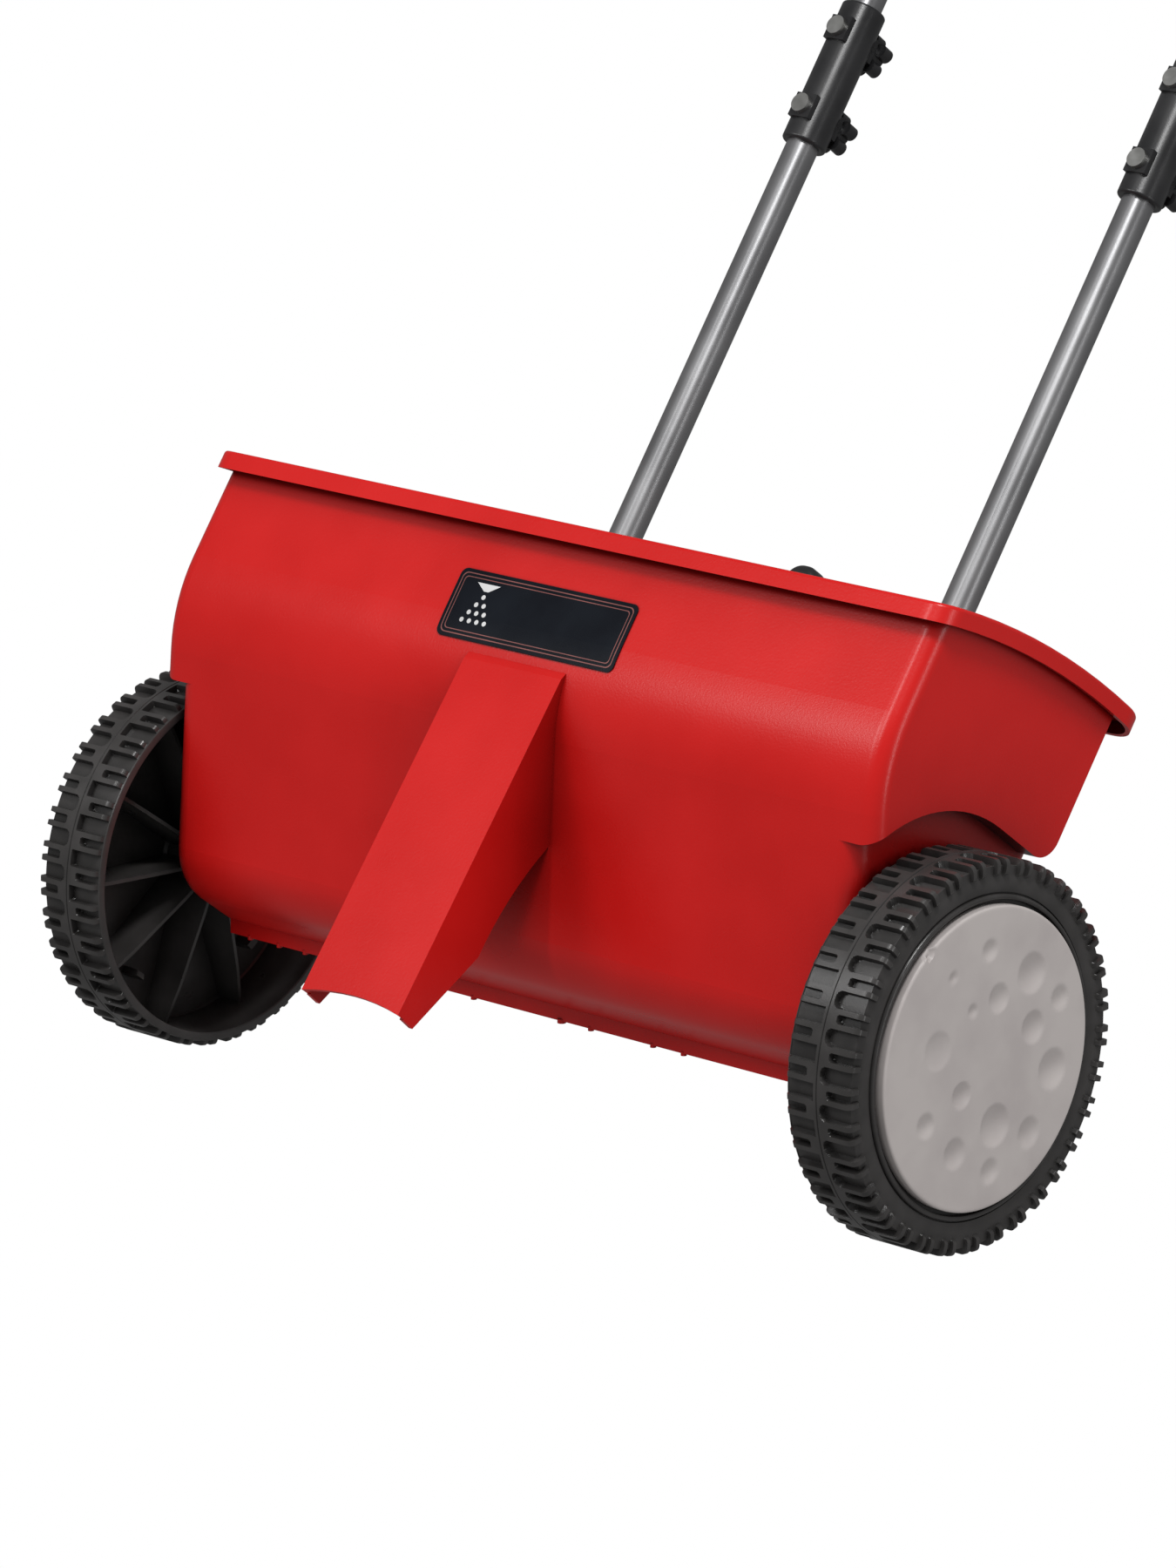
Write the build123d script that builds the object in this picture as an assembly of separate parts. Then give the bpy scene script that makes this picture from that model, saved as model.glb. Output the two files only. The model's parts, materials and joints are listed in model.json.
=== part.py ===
from build123d import *
import math
import os

# Drop spreader for lawns: a hopper on two wheels with a push handle and a rear dosing lever.
# Design frame, mm: origin on the axle's centre, X to the right, Y to the back, Z along the
# handle tubes. park() turns it into the row frame, where both wheels and the foot stand on Z = 0.

# Attitude
PARK_TILT = 5.67        # the handle leans this far forward when the spreader stands on its foot
LEAN = 36.5             # the handle leans this far back in use, when the discharge floor is level

# Hopper
WALL = 2.5
FRONT_Y = -121.0        # upright part of the front wall
REAR_Y = 31.0           # rear wall
BEND_Z = 126.0          # where the front wall starts to curve in
BEND_R = 95.0
BEND_TURN = 32.0        # degrees turned by that curve
CREASE_R = 35.0         # curve between the front wall and the bottom
TROUGH_R = 28.7         # trough round the axle
TROUGH_REAR_R = 28.0    # curve between the discharge floor and the rear wall
UPPER_HALF = 247.0      # half width above the wheels
LOWER_HALF = 236.0      # half width between the wheels
LOWER_EDGE_R = 12.0     # edges round the two sides between the wheels
CORNER_R = 10.0         # upright front corners above the wheels
ARCH_Y, ARCH_Z, ARCH_R = -15.0, 17.5, 95.0      # hollow over each wheel, level behind its top
ARCH_EDGE_R = 4.0
SHOULDER_R = 14.0       # rear lower corner above the wheels
PROFILE_TOP = 260.0     # the walls are drawn to here, then cut at the rim

# Rim
RIM_FRONT_Y, RIM_REAR_Y = -129.0, 54.0
RIM_HALF = 253.0
RIM_DEPTH = 9.5
RIM_SHEET = 2.5
RIM_FRONT_R, RIM_REAR_R = 14.0, 20.0
RIM_EDGE_R = 2.0
TUBE_NOTCH_R = 9.4      # notches that let the tubes pass the rim
CROWN_Y, CROWN_Z, CROWN_R = 17.4, -290.2, 495.5     # circle that the rim's top follows

# Foot
FOOT_HALF = 33.6
FOOT_TOP = (-121.0, 104.0)
FOOT_TOE = (-128.1, -87.8)
FOOT_HEEL = (-114.2, -89.2)
FOOT_KNEE = (-91.6, -39.0)
FOOT_FLANK = (-88.6, -7.0)
FOOT_ROOT = (-78.0, 29.0)
FOOT_INNER = ((-74.0, 40.0), (-104.0, 104.0), (-112.0, 126.0))     # hidden in the front wall
FOOT_HOLLOW_RISE = 4.0

# Discharge floor, shutter and rails, in the frame that is level in use
PAD_HALF_Y, PAD_Z, PAD_TOP_Z, PAD_HALF_X = 11.4, -29.6, -24.0, 212.0
SLOT_PITCH, SLOT_COUNT, SLOT_X, SLOT_Y = 18.0, 22, 7.0, 13.0
SHUTTER_SHEET, SHUTTER_GAP, SHUTTER_HALF_Y, SHUTTER_HALF_X = 1.0, 0.35, 11.0, 208.0
SHUTTER_TRAVEL = 9.0
TAB_HALF, TAB_Y, TAB_TOP = 9.0, 52.0, 14.0      # the shutter's tab, upright in the design frame
FRONT_RAIL_TOP_Z, REAR_RAIL_TOP_Z = -24.0, -28.0
RAIL_HALF_X, RAIL_SHEET, RAIL_LIP, LIP_SHEET = 226.0, 2.5, 5.0, 1.6
RAIL_FOOT_Z = PAD_Z - 2 * SHUTTER_GAP - SHUTTER_SHEET       # underside of the shutter's space
RAIL_BOTTOM = RAIL_FOOT_Z - LIP_SHEET
RAIL_SCREW_R = 1.4
EAR_HALF_X, EAR_Y, EAR_TOP_Z = 4.5, 20.0, -20.0
EARS_X = (-180.0, -90.0, 45.0, 90.0, 180.0)
STUDS = (               # round studs under the front rail: place along X, radius
    (-212.2, 1.6), (-190.7, 1.6), (-171.4, 1.6), (-49.3, 1.6), (12.7, 2.3), (33.1, 1.6),
    (76.0, 1.6), (96.9, 1.6),
)
STUD_DROP = 1.3

# Axle and wheels
AXLE_R = 4.0
RUNNING_GAP = 0.05
END_GAP = 0.3
AXLE_HALF = 281.3
WHEEL_R = 100.0
TREAD_BASE_R = 96.6
WHEEL_IN, WHEEL_OUT = 240.0, 283.0
RING_IN_R = 92.8
CAP_SEAT_R, CAP_R = 79.5, 77.3
WEB_OUT, WEB_SHEET = 279.0, 2.5
HUB_R, HUB_IN = 12.0, 243.0
RIB_COUNT = 10
PERIODS = 33
LUG_SKIN = 1.2          # how far the lugs stand out of the side wall
LUG_FOOT_R = 88.5
CAP_FACE = 285.5
BUSH_R, BUSH_FLANGE_R, BUSH_FLANGE = 8.0, 12.0, 2.5
PIN_R, PIN_X, PIN_HALF = 2.0, 245.0, 11.0
CLIP_R, CLIP_SHEET = 8.0, 1.0
SPACER_R = 7.0
AGITATOR_R, AGITATOR_HALF = 8.0, 196.0
PADDLE_R, PADDLE_X, PADDLE_SHEET = 24.0, 5.0, 2.2
AGITATOR_PINS_X = (-171.0, 171.0)
AGITATOR_PIN_R = 1.5
TREAD_MIDDLE, TREAD_BAND = 261.5, 2.2       # centre and half width of the raised middle band
LARGE_POCKET, SMALL_POCKET = 6.4, 3.2
SMALL_SHORTER = 4.5
POCKET_WALL = 1.4                           # edge of the tread left on the inner side
# Round dents in the hub caps: backwards, upwards, radius, depth.
DENTS = (
    (-31.5, 45.7, 5.5, 1.1), (-48.9, 22.7, 3.3, 0.8), (-24.9, 15.4, 3.6, 0.8),
    (-10.3, 29.0, 7.5, 1.2), (5.6, 50.0, 10.5, 1.4), (33.7, 49.1, 6.5, 1.2),
    (23.4, 28.2, 8.5, 1.3), (-37.2, -11.9, 10.0, 1.1), (50.7, 17.2, 10.5, 1.4),
    (-6.5, -22.6, 7.0, 1.2), (-22.5, -46.2, 6.5, 1.2), (26.8, -24.4, 11.0, 1.4),
    (53.8, -16.6, 8.0, 1.2), (6.8, -48.7, 8.0, 1.2), (37.6, -45.0, 6.5, 1.2),
)

# Handle
TUBE_X, TUBE_Y, TUBE_R, TUBE_SHEET = 116.0, 42.0, 9.0, 1.2
TUBE_LOW, TUBE_JOIN, HANDLE_TOP = -8.0, 520.0, 960.0
HANDLE_BEND_R = 45.0
TUBE_GAP = 0.1
SOCKET_HALF, SOCKET_R = 42.0, 12.5
SOCKET_BOLT_Z = 24.0
SADDLE_Z = (20.0, 150.0)
SADDLE_HALF_X, SADDLE_HALF_Z = 13.0, 18.0
BOLT_R, BOLT_GAP = 3.0, 0.1
GRIP_R, GRIP_HALF = 15.0, 68.0

# Dosing lever
LEVER_Y, LEVER_SHEET, LEVER_HALF = 55.2, 3.0, 6.0
PIVOT_Z, LEVER_PIN_Z = 45.0, 5.0
LEVER_TOP = 236.0
KNOB_HALF_X, KNOB_LOW, KNOB_TOP = 10.5, 216.0, 249.0
KNOB_FRONT, KNOB_BACK = 50.0, 66.0
DRIVE_PIN_R = 1.6
BRACKET_HALF_X, BRACKET_LOW, BRACKET_HIGH = 22.0, 26.0, 96.0
BRACKET_SHEET = 4.0
BRACKET_SCREW_R = 2.0
PIVOT_R = 3.0
BOSS_R = 10.0
SCALE_SHEET = 0.5

# Label
LABEL_X, LABEL_HALF, LABEL_LOW, LABEL_HIGH = 1.5, 61.0, 113.0, 151.0
LABEL_R, LABEL_SHEET = 4.0, 0.6

AXLE_SHIFT = 23.25      # brings the box's middle to Y = 0 in the row frame
FAR = 400.0             # larger than any cut needs


def park(shape):
    """From the design frame to the row frame: standing on both wheels and the foot."""
    return shape.moved(Location((0, AXLE_SHIFT, WHEEL_R), (PARK_TILT, 0, 0)))


def level(shape):
    """From the frame that is level in use to the design frame."""
    return Rot(LEAN, 0, 0) * shape


def rod(radius, start, axis, length):
    return extrude(Plane(origin=start, z_dir=axis) * Circle(radius), amount=length)


def pipe(outer, inner, start, axis, length):
    return rod(outer, start, axis, length) - rod(inner, start, axis, length)


def block(low, high):
    size = [high[i] - low[i] for i in range(3)]
    centre = [(high[i] + low[i]) / 2 for i in range(3)]
    return Pos(*centre) * Box(*size)


def across(face, half):
    """A prism along X from a face drawn in Y and Z."""
    return extrude(Plane.YZ * face, amount=half, both=True)


def mirrored(shape):
    return mirror(shape, about=Plane.YZ)


# ---------------------------------------------------------------- hopper
def profile_corners():
    """Corners of the side outline below the rim, each with the radius that rounds it."""
    turn = math.radians(BEND_TURN)
    lean = math.radians(LEAN)
    bend_z = BEND_Z - BEND_R * math.tan(turn / 2)
    crease_y = FRONT_Y + (bend_z + TROUGH_R) * math.tan(turn)
    rear_z = (REAR_Y * math.sin(lean) - TROUGH_R) / math.cos(lean)
    return (
        ((FRONT_Y, bend_z), BEND_R),
        ((crease_y, -TROUGH_R), CREASE_R),
        ((TROUGH_R * math.tan(lean / 2), -TROUGH_R), TROUGH_R),
        ((REAR_Y, rear_z), TROUGH_REAR_R),
    )


def side_profile():
    """Outline of the hopper seen from its side, open above the rim."""
    corners = profile_corners()
    points = [(FRONT_Y, PROFILE_TOP)] + [point for point, _ in corners] + [(REAR_Y, PROFILE_TOP)]
    face = make_face(Polyline(*points, close=True))
    for point, radius in corners:
        face = fillet(face.vertices().sort_by_distance(point)[0], radius)
    return face


def on_side(solid, half):
    """Edges that lie in the solid's two flat sides, below their top."""
    edges = [e for e in solid.edges() if abs(abs(e.center().X) - half) < 0.01]
    return [e for e in edges if e.center().Z < PROFILE_TOP - 10]


def lower_body(profile, inset):
    """What fits between the wheels, with the edges of its sides rounded."""
    half = LOWER_HALF - inset
    lower = across(profile, half)
    return fillet(on_side(lower, half), LOWER_EDGE_R - inset)


def upper_body(profile, inset):
    """What overhangs the wheels, hollowed over them."""
    half = UPPER_HALF - inset
    arch_top = ARCH_Z + ARCH_R + inset
    arch = rod(ARCH_R + inset, (-FAR, ARCH_Y, ARCH_Z), (1, 0, 0), 2 * FAR)
    arch += block((-FAR, ARCH_Y, -60), (FAR, 60, arch_top))
    upper = across(profile, half) - arch
    shoulder = [
        e for e in upper.edges().filter_by(Axis.X)
        if e.center().Y > REAR_Y - inset - 1 and e.center().Z < arch_top + 1
    ]
    upper = fillet(shoulder, SHOULDER_R - inset)
    front = [e for e in on_side(upper, half) if e.center().Y < ARCH_Y - ARCH_R + 12]
    return fillet(front, CORNER_R - inset)


def body_solid(inset):
    """The hopper's filled shape, drawn in by inset on every side but the top."""
    profile = side_profile()
    if inset:
        profile = offset(profile, amount=-inset, kind=Kind.INTERSECTION)
    return upper_body(profile, inset) + lower_body(profile, inset)


def crown(shift=0.0):
    """Everything under the curved surface that the rim's top follows."""
    return rod(CROWN_R + shift, (-FAR, CROWN_Y, CROWN_Z), (1, 0, 0), 2 * FAR)


def rim_plan(inset):
    """The rim's outline seen from above, as a tall prism."""
    half = RIM_HALF - inset
    front, rear = RIM_FRONT_Y + inset, RIM_REAR_Y - inset
    prism = block((-half, front, 100), (half, rear, PROFILE_TOP))
    uprights = prism.edges().filter_by(Axis.Z)
    prism = fillet([e for e in uprights if e.center().Y < 0], RIM_FRONT_R - inset)
    uprights = prism.edges().filter_by(Axis.Z)
    rear_edges = [e for e in uprights if e.center().Y > RIM_REAR_Y - inset - 1]
    return fillet(rear_edges, RIM_REAR_R - inset)


def rim():
    plate = rim_plan(0) & (crown() - crown(-RIM_DEPTH))
    top = plate.faces().sort_by(Axis.Z)[-1]
    plate = fillet(top.edges(), RIM_EDGE_R)
    return plate - (rim_plan(RIM_SHEET) & crown(-RIM_SHEET))


def foot_side():
    """Outline of the foot's side panel, whose rear edge runs into the front wall."""
    wires = [
        Line(FOOT_TOP, FOOT_TOE),
        Line(FOOT_TOE, FOOT_HEEL),
        Line(FOOT_HEEL, FOOT_KNEE),
        ThreePointArc(FOOT_KNEE, FOOT_FLANK, FOOT_ROOT),
        Polyline(FOOT_ROOT, *FOOT_INNER, FOOT_TOP),
    ]
    return make_face(wires)


def foot():
    """A folded channel: a front panel and two side panels, open behind and below."""
    solid = across(foot_side(), FOOT_HALF)
    front = (FOOT_TOP[0] + WALL, 110.0), (FOOT_TOE[0] + WALL - 0.3, -95.0)
    hollow = make_face(Polyline(front[0], front[1], (-60, -95), (-60, 110), close=True))
    solid -= across(hollow, FOOT_HALF - WALL)
    sweep_r = (FOOT_HALF ** 2 + FOOT_HOLLOW_RISE ** 2) / (2 * FOOT_HOLLOW_RISE)
    hollow_z = FOOT_TOE[1] + FOOT_HOLLOW_RISE - sweep_r
    return solid - rod(sweep_r, (0, FOOT_TOE[0] - 5, hollow_z), (0, 1, 0), 5 + 2 * WALL)


def slot_places(shift=0.0):
    first = -SLOT_PITCH * (SLOT_COUNT - 1) / 2
    return [first + SLOT_PITCH * i + shift for i in range(SLOT_COUNT)]


def slots(z_low, z_high, shift=0.0):
    size = (SLOT_X, SLOT_Y, z_high - z_low)
    return [Pos(x, 0, (z_low + z_high) / 2) * Box(*size) for x in slot_places(shift)]


def ear_screw_holes():
    y = (PAD_HALF_Y + RAIL_SHEET + EAR_Y) / 2
    radius = RAIL_SCREW_R + BOLT_GAP / 2
    return [rod(radius, (x, y, RAIL_FOOT_Z - 5), (0, 0, 1), 12) for x in EARS_X]


def ear_boss(x):
    """A block behind the trough that the shutter rail is screwed to, clear of the rail's upright."""
    boss = block((x - EAR_HALF_X, PAD_HALF_Y - 1, PAD_Z), (x + EAR_HALF_X, EAR_Y, EAR_TOP_Z))
    low = (x - FAR, PAD_HALF_Y, PAD_Z - 1)
    high = (x + FAR, PAD_HALF_Y + RAIL_SHEET + END_GAP, REAR_RAIL_TOP_Z + END_GAP)
    return boss - block(low, high)


def rail_studs():
    middle_y = -(PAD_HALF_Y + RAIL_SHEET / 2)
    return [
        rod(radius, (x, middle_y, RAIL_BOTTOM - STUD_DROP), (0, 0, 1), STUD_DROP + 1)
        for x, radius in STUDS
    ]


def wall_bolt_places():
    return [(side * TUBE_X, z) for side in (-1, 1) for z in SADDLE_Z]


def hopper():
    pad = level(block((-PAD_HALF_X, -PAD_HALF_Y, PAD_Z), (PAD_HALF_X, PAD_HALF_Y, PAD_TOP_Z)))
    shell = (body_solid(0) & crown()) + rim() + foot() + pad
    shell += level(guide_rail(-1, FRONT_RAIL_TOP_Z))
    shell += [level(ear_boss(x)) for x in EARS_X]
    shell += [level(stud) for stud in rail_studs()]
    shell -= body_solid(WALL)
    cuts = [level(s) for s in slots(PAD_Z - 1, -20)]
    cuts += [level(h) for h in ear_screw_holes()]
    cuts.append(rod(BUSH_R, (-LOWER_HALF - 5, 0, 0), (1, 0, 0), 2 * LOWER_HALF + 10))
    for x, z in wall_bolt_places():
        cuts.append(rod(BOLT_R + BOLT_GAP, (x, REAR_Y - 8, z), (0, 1, 0), 12))
    for side in (-1, 1):
        cuts.append(rod(TUBE_NOTCH_R, (side * TUBE_X, TUBE_Y, 180), (0, 0, 1), 60))
    for x, z in bracket_screw_places():
        cuts.append(rod(BRACKET_SCREW_R + BOLT_GAP / 2, (x, REAR_Y - 5, z), (0, 1, 0), 10))
    return shell - cuts


def label_plate():
    """A thin plate that follows the front wall."""
    wall = side_profile()
    skin = across(offset(wall, amount=LABEL_SHEET), FAR) - across(wall, FAR + 1)
    outline = RectangleRounded(2 * LABEL_HALF, LABEL_HIGH - LABEL_LOW, LABEL_R)
    face = Pos(LABEL_X, (LABEL_LOW + LABEL_HIGH) / 2) * outline
    return skin & (Pos(0, FRONT_Y + 20, 0) * extrude(Plane.XZ * face, amount=40))


# ---------------------------------------------------------------- discharge
def guide_rail(side, top):
    """An angle strip that holds one edge of the shutter up against the floor."""
    near, far = side * PAD_HALF_Y, side * (PAD_HALF_Y + RAIL_SHEET)
    tip = side * (PAD_HALF_Y + RAIL_SHEET - RAIL_LIP)
    low_y, high_y = min(near, far), max(near, far)
    upright = block((-RAIL_HALF_X, low_y, RAIL_BOTTOM), (RAIL_HALF_X, high_y, top))
    low_y, high_y = min(tip, far), max(tip, far)
    lip = block((-RAIL_HALF_X, low_y, RAIL_BOTTOM), (RAIL_HALF_X, high_y, RAIL_FOOT_Z))
    return upright + lip


def shutter_rail():
    """Rear rail, screwed on, with a gap in the middle for the shutter's tab."""
    rail = guide_rail(1, REAR_RAIL_TOP_Z)
    for x in EARS_X:
        rail += block((x - EAR_HALF_X, PAD_HALF_Y, RAIL_BOTTOM), (x + EAR_HALF_X, EAR_Y, PAD_Z))
    room = TAB_HALF + SHUTTER_TRAVEL + 2
    gap = block((-room, 0, RAIL_FOOT_Z - 0.4), (TAB_HALF + 2, 30, PAD_Z + 0.4))
    return level(rail - gap - ear_screw_holes())


def rail_screws():
    """Screws that go up through the rail's ears into the bosses."""
    y = (PAD_HALF_Y + RAIL_SHEET + EAR_Y) / 2
    screws = []
    for x in EARS_X:
        shank = rod(RAIL_SCREW_R, (x, y, RAIL_BOTTOM), (0, 0, 1), 8)
        head = rod(2 * RAIL_SCREW_R, (x, y, RAIL_BOTTOM - 1.6), (0, 0, 1), 1.6)
        screws.append(level(shank + head))
    return screws


def shutter_plate():
    """A slotted plate that slides under the discharge floor, with a tab for the lever."""
    top = PAD_Z - SHUTTER_GAP
    bottom = top - SHUTTER_SHEET
    low = (-SHUTTER_HALF_X, -SHUTTER_HALF_Y, bottom)
    plate = block(low, (SHUTTER_HALF_X, SHUTTER_HALF_Y, top))
    plate -= slots(bottom - 1, top + 1, SHUTTER_TRAVEL)
    plate = level(plate)
    lean = math.radians(LEAN)
    start = SHUTTER_HALF_Y - 2
    bend = [
        (start * math.cos(lean) - z * math.sin(lean), start * math.sin(lean) + z * math.cos(lean))
        for z in (bottom, top)
    ]
    reach = [
        (TAB_Y + SHUTTER_SHEET, point[1] + (TAB_Y + SHUTTER_SHEET - point[0]) * math.tan(lean))
        for point in bend
    ]
    inner_z = bend[1][1] + (TAB_Y - bend[1][0]) * math.tan(lean)
    outline = Polyline(
        bend[0], reach[0], (TAB_Y + SHUTTER_SHEET, TAB_TOP), (TAB_Y, TAB_TOP),
        (TAB_Y, inner_z), bend[1],
        close=True,
    )
    tab = across(make_face(outline), TAB_HALF)
    slot = Pos(0, TAB_Y, LEVER_PIN_Z) * Box(2 * DRIVE_PIN_R + 0.9, 10, 2 * DRIVE_PIN_R + 4)
    return plate + tab - slot


# ---------------------------------------------------------------- axle and wheels
def axle_shaft():
    shaft = rod(AXLE_R, (-AXLE_HALF, 0, 0), (1, 0, 0), 2 * AXLE_HALF)
    cuts = [rod(PIN_R, (PIN_X, 0, -10), (0, 0, 1), 20)]
    for x in AGITATOR_PINS_X:
        cuts.append(rod(AGITATOR_PIN_R, (x, 0, -10), (0, 0, 1), 20))
    return shaft - cuts


def agitator():
    """A sleeve with a pair of paddles over every slot, each pair turned from the last."""
    sleeve = rod(AGITATOR_R, (-AGITATOR_HALF, 0, 0), (1, 0, 0), 2 * AGITATOR_HALF)
    paddles = []
    for index, x in enumerate(slot_places()):
        pair = Pos(x, 0, 0) * Box(PADDLE_X, PADDLE_SHEET, 2 * PADDLE_R)
        paddles.append(Rot(X=45.0 * index + 22.5) * pair)
    sleeve = sleeve + paddles
    cuts = [rod(AXLE_R, (-FAR, 0, 0), (1, 0, 0), 2 * FAR)]
    for x in AGITATOR_PINS_X:
        cuts.append(rod(AGITATOR_PIN_R, (x, 0, -20), (0, 0, 1), 40))
    return sleeve - cuts


def agitator_pins():
    length = 2 * AGITATOR_R + 1
    return [rod(AGITATOR_PIN_R, (x, 0, -length / 2), (0, 0, 1), length) for x in AGITATOR_PINS_X]


def axle_bush():
    """A flanged bush that the axle runs in, pressed into the hopper's right side wall."""
    inner = LOWER_HALF - WALL
    bush = rod(BUSH_R, (inner - 3, 0, 0), (1, 0, 0), WALL + 3)
    flange = rod(BUSH_FLANGE_R, (LOWER_HALF, 0, 0), (1, 0, 0), BUSH_FLANGE)
    return bush + flange - rod(AXLE_R + RUNNING_GAP, (0, 0, 0), (1, 0, 0), FAR)


def axle_spacer():
    start = LOWER_HALF + BUSH_FLANGE + END_GAP
    return pipe(SPACER_R, AXLE_R, (start, 0, 0), (1, 0, 0), HUB_IN - END_GAP - start)


def retaining_clip():
    return pipe(CLIP_R, AXLE_R, (WEB_OUT + END_GAP, 0, 0), (1, 0, 0), CLIP_SHEET)


def drive_pin():
    return rod(PIN_R, (PIN_X, 0, -PIN_HALF), (0, 0, 1), 2 * PIN_HALF)


def turned(points):
    """A solid of revolution about the axle from points given as (X, radius)."""
    face = make_face(Plane.XZ * Polyline(*points, close=True))
    return revolve(face, axis=Axis.X)


def tread_pocket(x_near, x_far, width):
    """What one gap between two lugs removes, at the wheel's top."""
    outer = WHEEL_R + 2
    floor = WHEEL_OUT + 0.2
    foot_r = LUG_FOOT_R - 1
    if x_far > WHEEL_OUT:
        points = [
            (x_near, TREAD_BASE_R), (x_near, outer), (floor + 3, outer), (floor + 3, foot_r),
            (floor, foot_r), (floor, TREAD_BASE_R - 3.6), (floor - 3, TREAD_BASE_R),
        ]
    else:
        points = [
            (x_near, TREAD_BASE_R), (x_near, outer), (x_far, outer), (x_far, TREAD_BASE_R),
        ]
    face = make_face(Plane.XZ * Polyline(*points, close=True))
    return extrude(face, amount=width / 2, both=True)


def tread_pockets():
    """Two rows of pockets, a large one and a small one in turn, staggered by half a pitch."""
    step = 360.0 / PERIODS
    inner_edge = TREAD_MIDDLE - TREAD_BAND
    outer_edge = TREAD_MIDDLE + TREAD_BAND
    rows = (
        (tread_pocket(outer_edge, FAR, LARGE_POCKET), 0.0),
        (tread_pocket(outer_edge + SMALL_SHORTER, FAR, SMALL_POCKET), 0.5),
        (tread_pocket(WHEEL_IN + POCKET_WALL, inner_edge, LARGE_POCKET), 0.5),
        (tread_pocket(WHEEL_IN + POCKET_WALL, inner_edge - SMALL_SHORTER, SMALL_POCKET), 0.0),
    )
    return [Rot(X=step * (i + start)) * tool for tool, start in rows for i in range(PERIODS)]


def wheel_rib():
    """One thin web rib from the hub to the ring, on the wheel's open inner side."""
    inner = WEB_OUT - WEB_SHEET + 0.5
    points = [
        (inner, HUB_R - 2), (HUB_IN + 5, HUB_R - 2), (WHEEL_IN + 20, RING_IN_R + 1),
        (inner, RING_IN_R + 1),
    ]
    face = make_face(Plane.XZ * Polyline(*points, close=True))
    return extrude(face, amount=1.0, both=True)


def wheel():
    """Right wheel: moulded in one piece with its tread, open on the inner side."""
    skin = WHEEL_OUT + LUG_SKIN
    body = turned([
        (WHEEL_IN, RING_IN_R), (WHEEL_IN, WHEEL_R), (skin - 4, WHEEL_R), (skin, WHEEL_R - 4),
        (skin, LUG_FOOT_R), (WHEEL_OUT, LUG_FOOT_R), (WHEEL_OUT, CAP_SEAT_R),
        (WEB_OUT, CAP_SEAT_R), (WEB_OUT, AXLE_R + RUNNING_GAP), (HUB_IN, AXLE_R + RUNNING_GAP),
        (HUB_IN, HUB_R), (WEB_OUT - WEB_SHEET, HUB_R), (WEB_OUT - WEB_SHEET, RING_IN_R),
    ])
    ribs = [Rot(X=360.0 / RIB_COUNT * (i + 0.5)) * wheel_rib() for i in range(RIB_COUNT)]
    keyway_depth = PIN_X - HUB_IN + PIN_R + 0.1
    keyway = Pos(HUB_IN, 0, 0) * Box(2 * keyway_depth, 2 * PIN_R + 0.2, 2 * HUB_R + 3)
    return body + ribs - tread_pockets() - keyway


def hub_cap():
    """Right hub cap: a shallow dish with round dents in its face."""
    edge = 1.2
    face = 2.0
    body = turned([
        (WEB_OUT, CAP_R - 3), (WEB_OUT, CAP_R), (CAP_FACE - edge, CAP_R), (CAP_FACE, CAP_R - edge),
        (CAP_FACE, 0), (CAP_FACE - face, 0), (CAP_FACE - face, CAP_R - 3),
    ])
    dents = []
    for forward, up, radius, depth in DENTS:
        ball = (radius ** 2 + depth ** 2) / (2 * depth)
        dents.append(Pos(CAP_FACE + ball - depth, forward, up) * Sphere(ball))
    return body - dents


# ---------------------------------------------------------------- handle
def lower_tube():
    """Right lower tube, with cross holes for its bolts."""
    length = TUBE_JOIN - 1 - TUBE_LOW
    tube = pipe(TUBE_R, TUBE_R - TUBE_SHEET, (TUBE_X, TUBE_Y, TUBE_LOW), (0, 0, 1), length)
    heights = SADDLE_Z + (TUBE_JOIN - SOCKET_BOLT_Z,)
    return tube - [bolt_hole(TUBE_X, z) for z in heights]


def bolt_hole(x, z):
    return rod(BOLT_R + BOLT_GAP, (x, TUBE_Y - 40, z), (0, 1, 0), 80)


def tube_plug():
    """Right plug that closes the lower end of a tube."""
    stem = rod(TUBE_R - TUBE_SHEET, (TUBE_X, TUBE_Y, TUBE_LOW), (0, 0, 1), 10)
    return stem + rod(TUBE_R, (TUBE_X, TUBE_Y, TUBE_LOW - 2.5), (0, 0, 1), 2.5)


def tube_saddle(z):
    """A block between the rear wall and the right tube, hollowed to the tube's round."""
    low = (TUBE_X - SADDLE_HALF_X, REAR_Y, z - SADDLE_HALF_Z)
    high = (TUBE_X + SADDLE_HALF_X, TUBE_Y, z + SADDLE_HALF_Z)
    saddle = block(low, high)
    seat = rod(TUBE_R + TUBE_GAP, (TUBE_X, TUBE_Y, 0), (0, 0, 1), 300)
    return saddle - seat - bolt_hole(TUBE_X, z)


def tube_saddles():
    right = [tube_saddle(z) for z in SADDLE_Z]
    return right + [mirrored(s) for s in right]


def tube_bolt(x, z):
    """Through bolt with a round head inside the hopper."""
    head_y = REAR_Y - WALL
    head = rod(6.0, (x, head_y - 3, z), (0, 1, 0), 3)
    return head + rod(BOLT_R, (x, head_y, z), (0, 1, 0), TUBE_Y + TUBE_R + 8 - head_y)


def tube_bolts():
    return [tube_bolt(x, z) for x, z in wall_bolt_places()]


def cap_nut(x, y, z):
    """Closed hexagon nut on the rear end of a bolt."""
    hexagon = extrude(Plane(origin=(x, y, z), z_dir=(0, 1, 0)) * RegularPolygon(5.6, 6), amount=5)
    dome = rod(4.6, (x, y + 5, z), (0, 1, 0), 5)
    return hexagon + dome - rod(BOLT_R, (x, y - 1, z), (0, 1, 0), 9)


def tube_nuts():
    return [cap_nut(x, TUBE_Y + TUBE_R, z) for x, z in wall_bolt_places()]


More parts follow.
